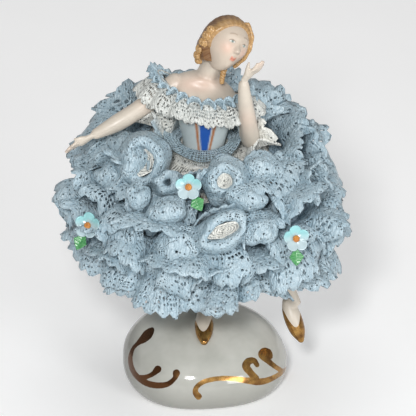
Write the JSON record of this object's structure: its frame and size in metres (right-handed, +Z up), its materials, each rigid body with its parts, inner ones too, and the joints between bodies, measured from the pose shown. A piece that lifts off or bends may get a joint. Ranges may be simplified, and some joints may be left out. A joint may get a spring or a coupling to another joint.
{
  "type": "porcelain lace figurine",
  "caption": "Porcelain dancer in a frilled lace skirt, a hand raised to the cheek, standing on a rounded mound with painted scrolls.",
  "frame": {"origin": "centre of the mound's flat underside", "axes": "+Z up to the dancer's head, -Y the way the dancer faces, +X to the dancer's left"},
  "size_m": [0.1128, 0.1102, 0.1535],
  "materials": {
    "white_glaze": "glossy white glaze with painted gold scrolls",
    "painted_skin": "glossy glaze over soft painted colours, gold slippers",
    "white_lace": "fired lace, satin white",
    "blue_lace": "fired lace, satin pale blue with white showing through",
    "petal_glaze": "glossy turquoise and pale blue",
    "orange_glaze": "glossy orange",
    "leaf_glaze": "glossy green"
  },
  "bodies": {
    "root": {"mound": "white_glaze", "dancer": "painted_skin", "underskirt": "white_lace", "skirt_frill_1": "blue_lace", "skirt_frill_2": "blue_lace", "skirt_frill_3": "blue_lace", "skirt_frill_4": "blue_lace", "skirt_frill_5": "blue_lace", "skirt_frill_6": "blue_lace", "skirt_frill_7": "blue_lace", "waist_peplum": "blue_lace", "bertha": "white_lace", "neckline_frill": "blue_lace", "blossom_front": "petal_glaze", "blossom_centre_front": "orange_glaze", "leaf_front": "leaf_glaze", "blossom_right_hand": "petal_glaze", "blossom_centre_right_hand": "orange_glaze", "leaf_right_hand": "leaf_glaze", "blossom_left_hand": "petal_glaze", "blossom_centre_left_hand": "orange_glaze", "leaf_left_hand": "leaf_glaze"}
  },
  "joints": []
}
